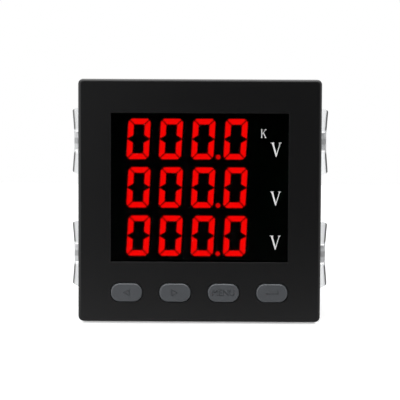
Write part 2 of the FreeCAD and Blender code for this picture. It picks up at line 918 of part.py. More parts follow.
def front_parts():
    parts = {"front_bezel": front_bezel(), "display_window": display_window()}
    for i, name in enumerate(key_names):
        parts["key_" + name] = keycap(i)
        parts["switch_body_" + name] = switch_body(i)
        parts["switch_plunger_" + name] = switch_plunger(i)
    for row, name in enumerate(row_names):
        parts["led_module_" + name] = led_module(row)
        parts["lit_segments_" + name] = lit_segments(row)
        parts["unlit_segments_" + name] = unlit_segments(row)
    parts["display_board"] = display_board()
    parts["display_board_screws"] = display_board_screws()
    parts["meter_processor_chip"] = behind_display(0, processor_size, processor_size, processor_height)
    parts["segment_driver_chip"] = behind_display(driver_x, driver_width, driver_length, driver_height)
    parts["crystal"] = behind_display(crystal_x, crystal_width, crystal_length, crystal_height)
    return parts


def case_parts():
    clip = mounting_clip()
    upper = clip.translated(vec(0, 0, clip_z))
    lower = clip.translated(vec(0, 0, -clip_z))
    return {"housing": housing(), "rear_cover": rear_cover(),
            "clip_right_upper": upper, "clip_right_lower": lower,
            "clip_left_upper": mirrored_x(upper), "clip_left_lower": mirrored_x(lower)}


def board_parts():
    twins = {"board": flat_board(), "terminal_block": terminal_block(),
             "terminal_cages": terminal_cages(), "terminal_screws": terminal_screws(),
             "link_socket": link_socket(), "link_pins": link_pins()}
    parts = {}
    for name, shape in twins.items():
        parts["upper_" + name] = shape
        parts["lower_" + name] = mirrored_z(shape)
    for i in range(transformer_count):
        parts["voltage_transformer_" + str(i + 1)] = voltage_transformer(i)
    parts["input_resistors"] = input_resistors()
    parts["power_transformer_core"] = transformer_core()
    parts["power_transformer_winding"] = transformer_winding()
    parts["bulk_capacitor"] = standing_can(bulk_can_radius, bulk_can_height, bulk_can_x, bulk_can_y)
    parts["output_capacitor"] = standing_can(output_can_radius, output_can_height,
                                             output_can_x, output_can_y)
    parts["mains_filter_capacitor"] = on_power_board(filter_x, filter_y, filter_width,
                                                     filter_length, filter_height)
    parts["surge_varistor"] = surge_varistor()
    parts["bridge_rectifier"] = on_power_board(rectifier_x, rectifier_y, rectifier_width,
                                               rectifier_length, rectifier_height)
    parts["power_controller_chip"] = on_power_board(controller_x, controller_y, controller_width,
                                                    controller_length, controller_height)
    return parts


def main():
    os.makedirs("parts", exist_ok=True)
    for name, shape in {**front_parts(), **case_parts(), **board_parts()}.items():
        shape.exportStep("parts/" + name + ".step")
        print(name, len(shape.Solids), round(shape.Volume, 2), shape.isValid())


main()
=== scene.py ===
"""Looks of the digital panel meter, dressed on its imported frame."""

import math

import bmesh
import bpy
from bpy.props import FloatProperty, FloatVectorProperty, IntProperty, PointerProperty
from mathutils import Matrix, Vector
from mathutils.geometry import tessellate_polygon


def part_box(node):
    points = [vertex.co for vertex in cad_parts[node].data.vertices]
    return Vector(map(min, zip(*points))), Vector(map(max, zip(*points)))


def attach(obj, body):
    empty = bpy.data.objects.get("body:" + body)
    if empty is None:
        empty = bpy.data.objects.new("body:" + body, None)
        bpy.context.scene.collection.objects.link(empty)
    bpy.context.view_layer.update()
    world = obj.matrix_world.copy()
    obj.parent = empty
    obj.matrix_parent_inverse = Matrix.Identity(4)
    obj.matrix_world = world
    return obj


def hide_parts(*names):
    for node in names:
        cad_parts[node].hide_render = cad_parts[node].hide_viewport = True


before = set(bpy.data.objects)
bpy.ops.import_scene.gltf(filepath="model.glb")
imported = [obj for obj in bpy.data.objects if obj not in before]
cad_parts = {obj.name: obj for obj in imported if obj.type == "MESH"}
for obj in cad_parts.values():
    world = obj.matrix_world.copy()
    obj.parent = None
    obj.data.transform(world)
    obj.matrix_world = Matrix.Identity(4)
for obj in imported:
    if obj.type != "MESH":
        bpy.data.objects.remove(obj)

bl_info = {
    "name": "Digital panel meter",
    "version": (1, 0, 0),
    "blender": (4, 5, 0),
    "location": "View3D > Sidebar > Meter",
    "description": "Dresses a 96 mm panel meter with its finishes, legends, digits and studio",
    "category": "Object",
}

MM = 0.001
CASE_BODY = "meter"
KEYS = ("left", "right", "menu", "enter")
ROWS = ("top", "middle", "bottom")
CLIPS = ("left_upper", "left_lower", "right_upper", "right_lower")


def srgb(code):
    """An sRGB hex colour as the linear RGBA that a shader takes."""
    parts = [int(code[i:i + 2], 16) / 255 for i in (0, 2, 4)]
    linear = [v / 12.92 if v <= 0.04045 else ((v + 0.055) / 1.055) ** 2.4 for v in parts]
    return (*linear, 1.0)


def colour_property(name, description, code):
    """A colour that a user can change, given as a hex code."""
    return FloatVectorProperty(name=name, description=description, subtype="COLOR", size=4,
                               min=0.0, max=1.0, default=srgb(code))


def length_property(name, description, millimetres):
    """A length that a user can change, given in millimetres and kept in metres."""
    return FloatProperty(name=name, description=description, subtype="DISTANCE", unit="LENGTH",
                         min=0.0, precision=5, default=millimetres * MM)


class MeterColours(bpy.types.PropertyGroup):
    """Colours and glow of the meter's pieces"""
    bezel: colour_property("Bezel", "Black of the moulded bezel", "0f0f10")
    case: colour_property("Case", "Black of the moulded case and rear cover", "1c1c1e")
    key: colour_property("Keys", "Grey of the moulded keycaps", "4c4f53")
    smoke: colour_property("Window tint", "Light that each face of the window lets through", "b5b5b5")
    lit: colour_property("Lit segments", "Light of the lit segments", "ff0503")
    unlit: colour_property("Unlit segments", "Resin of the segments that are off", "1c0808")
    ink: colour_property("Unit marks", "Ink of the printed unit marks", "ffffff")
    steel: colour_property("Clips", "Bright spring steel", "f0f1f2")
    terminal: colour_property("Terminal blocks", "Moulded polyamide of the terminal blocks", "1f7a45")
    glow: FloatProperty(name="Segment glow", description="Strength of the lit segments, before the tint",
                        min=0.0, default=4.4)
    point_glow: FloatProperty(name="Point glow", description="Glow of a point as a share of a bar's",
                              min=0.0, max=1.0, default=0.7)


class MeterSizes(bpy.types.PropertyGroup):
    """Sizes and places of what the looks add to the frame, and of what they follow on it"""
    # The window's size, rise and rim mark only the box in which the bezel's reflections are dimmed as
    # painted shade
    window_width: length_property("Window width", "Width of the bezel's window opening", 70.0)
    window_height: length_property("Window height", "Height of the bezel's window opening", 58.8)
    window_rise: length_property("Window rise", "Height of the opening's middle over the meter's", 5.2)
    window_rim: length_property("Window rim", "Width of the crisp rim round the opening", 0.15)
    key_width: length_property("Key width", "Width of a keycap's face", 12.4)
    key_height: length_property("Key height", "Height of a keycap's face", 7.3)
    key_corner: length_property("Key corner", "Corner radius of a keycap", 3.45)
    key_edge: length_property("Key edge", "Radius of a keycap's front edge", 0.6)
    key_flange: length_property("Key flange", "Thickness of the flange behind the keycap", 1.1)
    key_stem: length_property("Key stem", "Radius of the stem behind the keycap", 1.6)
    stem_length: length_property("Stem length", "How far the stem stands behind the flange", 2.15)
    legend_depth: length_property("Legend depth", "Depth of the legends sunk in the keys", 0.35)
    legend_stroke: length_property("Legend stroke", "Line width of the keys' arrows", 0.3)
    arrow_width: length_property("Arrowhead width", "Half the width of the outlined arrowheads", 1.35)
    arrow_height: length_property("Arrowhead height", "Half the height of the outlined arrowheads", 1.4)
    menu_height: length_property("Menu letters", "Height of the letters on the menu key", 2.5)
    ink_depth: length_property("Ink depth", "Thickness of the printed marks", 0.02)
    volt_height: length_property("Unit letter", "Height of each row's unit letter", 5.6)
    kilo_height: length_property("Prefix letter", "Height of the small prefix letter", 3.35)
    number_height: length_property("Terminal numbers", "Height of the numbers on the blocks", 1.9)
    number_depth: length_property("Number relief", "Height that the numbers stand out", 0.05)
    number_inset: length_property("Number inset", "Distance of the numbers from the block's edges", 1.0)
    point_x: length_property("Decimal point", "How far right the lit decimal points are", 7.6)
    point_reach: length_property("Point reach", "Half the width that a decimal point takes", 1.3)
    clip_height: length_property("Clip height", "Height of each clip's middle over the meter's", 23.0)
    lip_start: length_property("Clip lip", "How far out the lip of a clip starts at its middle", 50.45)
    shank_length: length_property("Screw shank", "Length of a terminal screw's shank", 1.6)
    slot_width: length_property("Screw slot", "Width of the slots in the terminal screws", 0.6)
    slot_depth: length_property("Slot depth", "Depth of the slots in the terminal screws", 0.8)


class StudioSettings(bpy.types.PropertyGroup):
    """Place of the camera and strength of the lights"""
    distance: FloatProperty(name="Distance", description="Camera to the middle of the bezel's face",
                            subtype="DISTANCE", unit="LENGTH", min=0.1, default=0.600)
    elevation: FloatProperty(name="Elevation", description="How far the camera looks down",
                             subtype="ANGLE", unit="ROTATION", default=math.radians(4.0))
    turn: FloatProperty(name="Turn", description="How far the camera stands to the right",
                        subtype="ANGLE", unit="ROTATION", default=math.radians(0.4))
    roll: FloatProperty(name="Roll", description="How far the camera leans to its left",
                        subtype="ANGLE", unit="ROTATION", default=math.radians(0.26))
    lens: FloatProperty(name="Lens", description="Focal length on a 36 mm sensor, in millimetres",
                        min=10.0, default=136.8)
    aim_right: length_property("Aim right", "How far right of the bezel's middle the camera aims", 0.17)
    aim_up: length_property("Aim up", "How far above the bezel's middle the camera aims", 0.47)
    sky: FloatProperty(name="Room light", description="Strength of the even light from all round",
                       min=0.0, default=0.55)
    key_light: FloatProperty(name="Overhead light", description="Power of the overhead softbox",
                             unit="POWER", min=0.0, default=0.3)
    fill_light: FloatProperty(name="Left fill", description="Power of the soft light on the left",
                              unit="POWER", min=0.0, default=1.05)


# Node and mesh helpers

def add(tree, kind, inputs=(), **settings):
    """Adds a node with its settings, and fills its inputs by name or in turn.

    An input takes a value, a socket or a node, which stands for its first output in use,
    or a list of these where it joins several.
    """
    node = tree.nodes.new(kind)
    for name, value in settings.items():
        setattr(node, name, value)
    if isinstance(inputs, dict):
        filled = [(node.inputs[name], value) for name, value in inputs.items()]
    else:
        filled = zip([socket for socket in node.inputs if socket.enabled], inputs)
    for socket, given in filled:
        for value in given if isinstance(given, list) else [given]:
            if isinstance(value, bpy.types.Node):
                value = next(output for output in value.outputs if output.enabled)
            if isinstance(value, bpy.types.NodeSocket):
                tree.links.new(value, socket)
            else:
                socket.default_value = value
    return node


def new_material(name):
    """A material without nodes, and its node tree."""
    material = bpy.data.materials.new(name)
    material.use_nodes = True
    material.node_tree.nodes.clear()
    return material, material.node_tree


def surface(tree, inputs):
    """Ends a material with a Principled shader on its output."""
    shader = add(tree, "ShaderNodeBsdfPrincipled", inputs)
    add(tree, "ShaderNodeOutputMaterial", {"Surface": shader})


def object_axes(tree):
    """The place on a piece, in metres, as sockets named X, Y and Z."""
    place = add(tree, "ShaderNodeTexCoord").outputs["Object"]
    return add(tree, "ShaderNodeSeparateXYZ", {"Vector": place}).outputs


def speckle(tree, size, detail=2.0, stretch=1.0):
    """A cloudy pattern whose grains are about the given size in metres, and stretched upwards."""
    place = add(tree, "ShaderNodeTexCoord").outputs["Object"]
    scaled = add(tree, "ShaderNodeMapping", {"Vector": place, "Scale": (1.0, 1.0, 1 / stretch)})
    return add(tree, "ShaderNodeTexNoise", {"Vector": scaled, "Scale": 1 / size, "Detail": detail})


def shade(colour, factor):
    """A colour made darker or lighter by a factor."""
    return tuple(min(1.0, v * factor) for v in colour[:3]) + (1.0,)


def new_object(name, mesh, material=None):
    """A mesh placed in the scene at its origin, with one material."""
    thing = bpy.data.objects.new(name, mesh)
    bpy.context.scene.collection.objects.link(thing)
    if material:
        mesh.materials.clear()
        mesh.materials.append(material)
    return thing


def mesh_from(name, build):
    """A mesh from a function that fills a bmesh, with its doubles merged and faces outwards."""
    work = bmesh.new()
    build(work)
    bmesh.ops.remove_doubles(work, verts=work.verts, dist=1e-7)
    bmesh.ops.recalc_face_normals(work, faces=work.faces)
    mesh = bpy.data.meshes.new(name)
    work.to_mesh(mesh)
    work.free()
    return mesh


def smoothed(mesh, degrees=32):
    """Smooth shading that keeps the edges sharper than the angle."""
    mesh.shade_smooth()
    mesh.set_sharp_from_angle(angle=math.radians(degrees))
    return mesh


def settled(thing, name):
    """The object's shape with its modifiers, as a plain mesh. The object is removed."""
    bpy.context.view_layer.update()
    graph = bpy.context.evaluated_depsgraph_get()
    mesh = bpy.data.meshes.new_from_object(thing.evaluated_get(graph), depsgraph=graph)
    mesh.name = name
    bpy.data.objects.remove(thing)
    return mesh


def loft(name, rings):
    """A closed skin through rings with as many points each, with its two ends filled."""
    def build(work):
        levels = [[work.verts.new(point) for point in ring] for ring in rings]
        count = len(rings[0])
        for lower, upper in zip(levels, levels[1:]):
            for i in range(count):
                j = (i + 1) % count
                work.faces.new((lower[i], lower[j], upper[j], upper[i]))
        work.faces.new(levels[0])
        work.faces.new(levels[-1])
    return mesh_from(name, build)


def stadium(centre, half_x, half_z, radius, y, steps=8):
    """Points round an upright rounded rectangle at one depth."""
    points = []
    for quarter, (sx, sz) in enumerate(((1, 1), (-1, 1), (-1, -1), (1, -1))):
        for step in range(steps + 1):
            angle = math.radians(90 * (quarter + step / steps))
            points.append(Vector((centre.x + sx * (half_x - radius) + radius * math.cos(angle), y,
                                  centre.z + sz * (half_z - radius) + radius * math.sin(angle))))
    return points


def upright(outline, centre, scale, front, back):
    """A flat outline of (x, z) points, upright at a place, as a solid between two depths."""
    def build(work):
        rings = [[work.verts.new((centre.x + px * scale, y, centre.z + pz * scale))
                  for px, pz in outline] for y in (front, back)]
        count = len(outline)
        for i in range(count):
            j = (i + 1) % count
            work.faces.new((rings[0][i], rings[0][j], rings[1][j], rings[1][i]))
        for triangle in tessellate_polygon([[Vector((px, pz, 0)) for px, pz in outline]]):
            for ring in rings:
                work.faces.new([ring[i] for i in triangle])
    return mesh_from("outline", build)


def lettering(text, height, thickness, place):
    """Plain built-in letters as a solid, laid on XY at the origin and then moved to a place."""
    # Height of a built-in capital as a share of the letters' size
    capital_height = 0.7
    curve = bpy.data.curves.new(text, "FONT")
    curve.body = text
    curve.align_x = "CENTER"
    curve.align_y = "CENTER"
    curve.size = height / capital_height
    curve.extrude = thickness / 2
    curve.resolution_u = 4
    maker = bpy.data.objects.new(text, curve)
    bpy.context.scene.collection.objects.link(maker)
    mesh = settled(maker, text)
    mesh.transform(place)
    return mesh


def merged(name, meshes):
    """Several meshes as one."""
    def build(work):
        for mesh in meshes:
            work.from_mesh(mesh)
    return mesh_from(name, build)


def baked(name, tree, values):
    """Runs a node tree with its inputs set by name, and returns the plain mesh that it makes."""
    maker = new_object(name, bpy.data.meshes.new(name))
    modifier = maker.modifiers.new("Make", "NODES")
    modifier.node_group = tree
    for item in tree.interface.items_tree:
        if item.item_type == "SOCKET" and item.in_out == "INPUT" and item.name in values:
            modifier[item.identifier] = values[item.name]
    return settled(maker, name)


def fit(thing, body, slot, *replaced):
    """Makes a piece move with its body and stand for the nodes that it replaces, which it hides. The slot
    that would name its finish is not used.
    """
    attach(thing, body)
    if replaced:
        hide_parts(*replaced)


def box_of(node):
    """A node's lowest and highest corners as vectors."""
    return [Vector(corner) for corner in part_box(node)]


def dress(material, *nodes):
    """Gives a finish to nodes whose shape is right as it is."""
    for node in nodes:
        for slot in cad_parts[node].material_slots:
            slot.material = material


# Finishes

def spark_finished_abs(name, colour, opening=None):
    """Black ABS from a spark-eroded mould: a fine matt grain that softens every highlight, with painted
    shade that dims the reflections in an opening's walls and rim.
    """
    material, tree = new_material(name)
    patches = speckle(tree, 30 * MM, detail=1.0)
    # The real grain is about 0.05 mm, drawn at 0.25 mm so that a close view shows it
    grain = speckle(tree, 0.25 * MM, detail=1.0)
    gloss, painted_rim_dimming = 0.31, 0.22
    if opening:
        # Painted shade: the walls and the crisp rim of the opening have their reflections turned down, so
        # they catch less light than the face
        half_width, half_height, rise = opening
        axes = object_axes(tree)
        beside = add(tree, "ShaderNodeMath", (axes["X"],), operation="ABSOLUTE")
        height = add(tree, "ShaderNodeMath", (axes["Z"], rise), operation="SUBTRACT")
        above = add(tree, "ShaderNodeMath", (height,), operation="ABSOLUTE")
        across = add(tree, "ShaderNodeMath", (beside, half_width), operation="LESS_THAN")
        upward = add(tree, "ShaderNodeMath", (above, half_height), operation="LESS_THAN")
        inside = add(tree, "ShaderNodeMath", (across, upward), operation="MULTIPLY")
        gloss = add(tree, "ShaderNodeMath", (inside, -painted_rim_dimming, gloss), operation="MULTIPLY_ADD")
    surface(tree, {
        "Base Color": add(tree, "ShaderNodeMix", (patches, shade(colour, 0.9), shade(colour, 1.1)),
                          data_type="RGBA"),
        "Roughness": add(tree, "ShaderNodeMapRange", {"Value": grain, "To Min": 0.34, "To Max": 0.42}),
        "IOR": 1.53,
        "Specular IOR Level": gloss,
        "Normal": add(tree, "ShaderNodeBump", {"Height": grain, "Strength": 0.25, "Distance": 0.03 * MM}),
    })
    return material


def moulded_key_plastic(colour):
    """Grey moulded ABS, satin from being touched, so its edges catch more light than the bezel."""
    material, tree = new_material("Satin grey ABS")
    grain = speckle(tree, 0.3 * MM, detail=1.0)
    wear = speckle(tree, 4 * MM)
    surface(tree, {
        "Base Color": add(tree, "ShaderNodeMix", (wear, shade(colour, 0.96), shade(colour, 1.04)),
                          data_type="RGBA"),
        "Roughness": add(tree, "ShaderNodeMapRange", {"Value": wear, "To Min": 0.34, "To Max": 0.46}),
        "IOR": 1.53,
        "Normal": add(tree, "ShaderNodeBump", {"Height": grain, "Strength": 0.12, "Distance": 0.02 * MM}),
    })
    return material


def smoked_acrylic(colour):
    """Smoked acrylic: a clean reflection, black where nothing glows, and a haze round what does."""
    material, tree = new_material("Smoked acrylic")
    refraction = 1.49
    hazy = add(tree, "ShaderNodeBsdfRefraction", {"Color": colour, "Roughness": 0.4, "IOR": refraction})
    polished = add(tree, "ShaderNodeBsdfGlossy", {"Color": (1, 1, 1, 1), "Roughness": 0.02})
    reflected = add(tree, "ShaderNodeFresnel", {"IOR": refraction})
    both = add(tree, "ShaderNodeMixShader", (reflected, hazy, polished))
    add(tree, "ShaderNodeOutputMaterial", {"Surface": both})
    return material


def glowing_resin(colours, sizes):
    """Red diffusing resin with dies behind it: an even, saturated light, dimmer in the points."""
    material, tree = new_material("Lit red resin")
    right = object_axes(tree)["X"]
    point = add(tree, "ShaderNodeMath", (right, sizes.point_x, sizes.point_reach), operation="COMPARE")
    loss = (colours.point_glow - 1) * colours.glow
    surface(tree, {
        "Base Color": shade(colours.lit, 0.1),
        "Roughness": 0.4,
        "IOR": 1.5,
        "Emission Color": colours.lit,
        "Emission Strength": add(tree, "ShaderNodeMath", (point, loss, colours.glow),
                                 operation="MULTIPLY_ADD"),
    })
    return material


def plain_plastic(name, colour, roughness):
    """Moulded engineering plastic with a slight orange-peel skin."""
    material, tree = new_material(name)
    skin = speckle(tree, 0.4 * MM, detail=1.0)
    patches = speckle(tree, 12 * MM, detail=1.0)
    surface(tree, {
        "Base Color": add(tree, "ShaderNodeMix", (patches, shade(colour, 0.93), shade(colour, 1.07)),
                          data_type="RGBA"),
        "Roughness": add(tree, "ShaderNodeMapRange", {"Value": skin, "To Min": roughness - 0.05,
                                                      "To Max": roughness + 0.05}),
        "IOR": 1.5,
        "Normal": add(tree, "ShaderNodeBump", {"Height": skin, "Strength": 0.1, "Distance": 0.02 * MM}),
    })
    return material


def printed_ink(colour):
    """Screen-printed epoxy ink: flat, matt, with a faint mesh unevenness."""
    material, tree = new_material("Screen-printed ink")
    cover = speckle(tree, 0.6 * MM)
    surface(tree, {
        "Base Color": add(tree, "ShaderNodeMix", (cover, shade(colour, 0.94), colour), data_type="RGBA"),
        "Roughness": 0.6,
        "IOR": 1.5,
    })
    return material


def clip_steel(colour, sizes):
    """Bright rolled spring steel: mill lines stretch its reflections, and painted shade darkens its lips
    and its pressed rib.
    """
    material, tree = new_material("Bright spring steel")
    # The bounds of the wings and of the pressed rib, from the clip's middle up or down
    tab_end, wing_start = 4.2 * MM, 5.0 * MM
    rib_middle, rib_end = 0.8 * MM, 1.5 * MM
    lip_blur = 0.1 * MM
    # Mill lines run up the sheet, about 0.08 mm wide and 8 mm long
    lines = speckle(tree, 0.08 * MM, stretch=100.0)
    axes = object_axes(tree)
    outward = add(tree, "ShaderNodeMath", (axes["X"],), operation="ABSOLUTE")
    height = add(tree, "ShaderNodeMath", (axes["Z"],), operation="ABSOLUTE")
    offset = add(tree, "ShaderNodeMath", (height, sizes.clip_height), operation="SUBTRACT")
    along = add(tree, "ShaderNodeMath", (offset,), operation="ABSOLUTE")
    # Each wing leans outwards, and its lip follows its edge
    lean = math.tan(math.radians(4.5))
    edge = add(tree, "ShaderNodeMath", (along, lean, sizes.lip_start), operation="MULTIPLY_ADD")
    past = add(tree, "ShaderNodeMath", (outward, edge), operation="SUBTRACT")
    lip = add(tree, "ShaderNodeMapRange", {"Value": past, "From Min": -lip_blur, "From Max": lip_blur})
    wing = add(tree, "ShaderNodeMapRange", {"Value": along, "From Min": tab_end, "From Max": wing_start})
    rib = add(tree, "ShaderNodeMapRange", {"Value": along, "From Min": rib_end, "From Max": rib_middle,
                                           "To Max": 0.4})
    # Painted shade: a band along each wing's lip and a band over the pressed rib darken the base colour,
    # standing in for dark reflections on the edges and the rib's shadow
    lip_painted_shade = add(tree, "ShaderNodeMath", (lip, wing), operation="MULTIPLY")
    dark = add(tree, "ShaderNodeMath", (lip_painted_shade, rib), operation="MAXIMUM")
    rolled = add(tree, "ShaderNodeMix", (lines, shade(colour, 0.92), colour), data_type="RGBA")
    milled = add(tree, "ShaderNodeMapRange", {"Value": lines, "To Min": 0.44, "To Max": 0.58})
    # Thumbs push the clip at its tab, between the wings, which is scuffed
    scuffed = add(tree, "ShaderNodeMapRange", {"Value": wing, "To Min": 0.25, "To Max": 0.0})
    # The base colour takes the painted shade of the lips and the rib
    surface(tree, {
        "Base Color": add(tree, "ShaderNodeMix", (dark, rolled, shade(colour, 0.3)), data_type="RGBA"),
        "Metallic": 1.0,
        "Roughness": add(tree, "ShaderNodeMath", (milled, scuffed), operation="ADD"),
        "Normal": add(tree, "ShaderNodeBump", {"Height": lines, "Strength": 0.08, "Distance": 0.01 * MM}),
    })
    return material


def plated_metal(name, colour, roughness):
    """Plated metal with the slight clouding of barrel plating."""
    material, tree = new_material(name)
    cloud = speckle(tree, 1.5 * MM)
    surface(tree, {
        "Base Color": add(tree, "ShaderNodeMix", (cloud, shade(colour, 0.88), colour), data_type="RGBA"),
        "Metallic": 1.0,
        "Roughness": add(tree, "ShaderNodeMapRange", {"Value": cloud, "To Min": roughness - 0.06,
                                                      "To Max": roughness + 0.06}),
    })
    return material


def solder_mask_board():
    """Glass-epoxy board under green solder mask: glossy, with the weave faintly showing."""
    material, tree = new_material("Solder-masked board")
    thread_spacing = 0.5 * MM
    weave = add(tree, "ShaderNodeTexChecker", {
        "Vector": add(tree, "ShaderNodeTexCoord").outputs["Object"], "Scale": 1 / thread_spacing,
        "Color1": srgb("0f4a28"), "Color2": srgb("115030")})
    surface(tree, {"Base Color": weave, "Roughness": 0.28, "IOR": 1.55})
    return material


# Pieces

class METER_OT_case(bpy.types.Operator):
    """Finish the bezel, the case and its rear cover"""
    bl_idname = "meter.case"
    bl_label = "Bezel and case"

    def execute(self, context):
        colours = context.scene.meter_colours
        sizes = context.scene.meter_sizes
        # The opening is the box in which the bezel's reflections are dimmed as painted shade
        opening = (sizes.window_width / 2 + sizes.window_rim,
                   sizes.window_height / 2 + sizes.window_rim, sizes.window_rise)
        dress(spark_finished_abs("Spark-finished black ABS, bezel", colours.bezel, opening), "front_bezel")
        dress(spark_finished_abs("Spark-finished black ABS, case", colours.case), "housing", "rear_cover")
        return {"FINISHED"}


# Serif capitals as (x, z) points, with the letter's height as 1 and its foot at 0
LETTER_V = [(-0.38, 1.0), (-0.13, 1.0), (-0.13, 0.97), (-0.18, 0.95), (0.03, 0.22), (0.25, 0.95),
            (0.18, 0.97), (0.18, 1.0), (0.38, 1.0), (0.38, 0.97), (0.3, 0.95), (0.02, 0.0),
            (-0.015, 0.0), (-0.3, 0.95), (-0.38, 0.97)]
LETTER_K = [(-0.33, 1.0), (-0.09, 1.0), (-0.09, 0.97), (-0.17, 0.95), (-0.17, 0.47), (0.19, 0.95),
            (0.12, 0.97), (0.12, 1.0), (0.34, 1.0), (0.34, 0.97), (0.25, 0.95), (0.0, 0.61),
            (0.28, 0.05), (0.36, 0.03), (0.36, 0.0), (0.12, 0.0), (0.12, 0.03), (0.19, 0.05),
            (-0.05, 0.54), (-0.17, 0.39), (-0.17, 0.05), (-0.09, 0.03), (-0.09, 0.0), (-0.33, 0.0),
            (-0.33, 0.03), (-0.25, 0.05), (-0.25, 0.95), (-0.33, 0.97)]
# Middles of the letters, in millimetres right of and above the meter's middle
VOLT_PLACES = ((30.1, 20.4), (30.0, 1.1), (30.0, -16.4))
KILO_PLACE = (25.1, 26.75)


class METER_OT_window(bpy.types.Operator):
    """Finish the smoked window and print the unit marks on it"""
    bl_idname = "meter.window"
    bl_label = "Window and unit marks"

    def execute(self, context):
        colours = context.scene.meter_colours
        sizes = context.scene.meter_sizes
        dress(smoked_acrylic(colours.smoke), "display_window")
        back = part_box("display_window")[0][1]
        front = back - sizes.ink_depth
        marks = []
        for letter, height, places in ((LETTER_V, sizes.volt_height, VOLT_PLACES),
                                       (LETTER_K, sizes.kilo_height, (KILO_PLACE,))):
            for x, z in places:
                foot = Vector((x * MM, 0, z * MM - height / 2))
                marks.append(upright(letter, foot, height, front, back))
        piece = new_object("unit_marks", merged("unit_marks", marks), printed_ink(colours.ink))
        fit(piece, CASE_BODY, "window_smoked")
        return {"FINISHED"}


class METER_OT_digits(bpy.types.Operator):
    """Light the segments and finish the modules behind the window"""
    bl_idname = "meter.digits"
    bl_label = "Seven-segment rows"

    def execute(self, context):
        colours = context.scene.meter_colours
        dress(glowing_resin(colours, context.scene.meter_sizes), *("lit_segments_" + row for row in ROWS))
        dress(plain_plastic("Unlit red resin", colours.unlit, 0.4),
              *("unlit_segments_" + row for row in ROWS))
        dress(plain_plastic("Black module plastic", srgb("0a0a0a"), 0.5),
              *("led_module_" + row for row in ROWS))
        return {"FINISHED"}


def triangle_ring(direction, half_width, half_height, stroke):
    """An outlined triangle that points left (-1) or right (1), as its outer and inner corners."""
    corners = [(direction * half_width, 0.0), (-direction * half_width, half_height),
               (-direction * half_width, -half_height)]
    centre = (-direction * half_width / 3, 0.0)
    scale = 1 - 3 * stroke / (2 * half_width)
    inner = [(centre[0] + (px - centre[0]) * scale, centre[1] + (pz - centre[1]) * scale)
             for px, pz in corners]
    return corners, inner


def ring_solid(outer, inner, centre, front, back):
    """A flat frame between two outlines with as many corners, as a solid."""
    def build(work):
        verts = {}
        for which, outline in (("outer", outer), ("inner", inner)):
            for y in (front, back):
                verts[which, y] = [work.verts.new((centre.x + px, y, centre.z + pz))
                                   for px, pz in outline]
        pairs = ((("outer", front), ("inner", front)), (("outer", back), ("inner", back)),
                 (("outer", front), ("outer", back)), (("inner", front), ("inner", back)))
        for first, second in pairs:
            for i in range(len(outer)):
                j = (i + 1) % len(outer)
                work.faces.new((verts[first][i], verts[first][j], verts[second][j], verts[second][i]))
    return mesh_from("ring", build)


def legend_cutter(key, centre, face, sizes):
    """The solid that sinks a key's legend into its face."""
    front, back = face - sizes.legend_depth, face + sizes.legend_depth
    if key in ("left", "right"):
        direction = -1 if key == "left" else 1
        outer, inner = triangle_ring(direction, sizes.arrow_width, sizes.arrow_height, sizes.legend_stroke)
        return ring_solid(outer, inner, centre, front, back)
    if key == "menu":
        turn = Matrix.Translation((centre.x, face, centre.z)) @ Matrix.Rotation(math.radians(90), 4, "X")
        letter_width = 0.92
        narrowed = Matrix.Diagonal((letter_width, 1, 1, 1))
        return lettering("MENU", sizes.menu_height, 2 * sizes.legend_depth, turn @ narrowed)
    stroke = sizes.legend_stroke
    right, left, top, line = 2.55 * MM, -2.5 * MM, 1.2 * MM, -0.25 * MM
    head, half_head = -1.4 * MM, 0.55 * MM
    under, over = line - stroke / 2, line + stroke / 2
    arrow = [(right, top), (right, under), (head, under), (head, line - half_head), (left, line),
             (head, line + half_head), (head, over), (right - stroke, over), (right - stroke, top)]
    return upright(arrow, centre, 1.0, front, back)


def keycap_rings(low, high, sizes):
    """The outlines that shape a keycap, from its rounded face back to its flange and stem."""
    centre = (low + high) / 2
    half_x, half_z, radius = sizes.key_width / 2, sizes.key_height / 2, sizes.key_corner
    flange_x, flange_z = (high.x - low.x) / 2, (high.z - low.z) / 2
    face, edge, stem = low.y, sizes.key_edge, sizes.key_stem
    flange_back = high.y - sizes.stem_length
    flange_front = flange_back - sizes.key_flange
    # A ring just inside the rounded edge keeps the shading of the face flat
    inside = 1.6 * edge
    rings = [stadium(centre, half_x - inside, half_z - inside, radius - inside, face)]
    edge_steps = 6
    for step in range(edge_steps + 1):
        angle = math.radians(90 * step / edge_steps)
        inset = edge * (1 - math.sin(angle))
        rings.append(stadium(centre, half_x - inset, half_z - inset, radius - inset,
                             face + edge * (1 - math.cos(angle))))
    for outline_x, outline_z, corner, y in (
            (half_x, half_z, radius, flange_front), (flange_x, flange_z, radius, flange_front),
            (flange_x, flange_z, radius, flange_back), (stem, stem, stem, flange_back),
            (stem, stem, stem, high.y)):
        rings.append(stadium(centre, outline_x, outline_z, corner, y))
    return rings


class METER_OT_keys(bpy.types.Operator):
    """Shape the keycaps with rounded edges and sunk legends"""
    bl_idname = "meter.keys"
    bl_label = "Keys and legends"

    def execute(self, context):
        sizes = context.scene.meter_sizes
        material = moulded_key_plastic(context.scene.meter_colours.key)
        for key in KEYS:
            low, high = box_of("key_" + key)
            piece = new_object("keycap_" + key, loft("keycap", keycap_rings(low, high, sizes)))
            cutter = new_object("legend_" + key, legend_cutter(key, (low + high) / 2, low.y, sizes))
            cut = piece.modifiers.new("Legend", "BOOLEAN")
            cut.object = cutter
            cut.operation = "DIFFERENCE"
            cut.solver = "EXACT"
            mesh = settled(piece, "keycap_" + key)
            bpy.data.objects.remove(cutter)
            piece = new_object("keycap_" + key, smoothed(mesh, 30), material)
            fit(piece, "key_%s_unit" % key, "key_grey", "key_" + key)
        return {"FINISHED"}


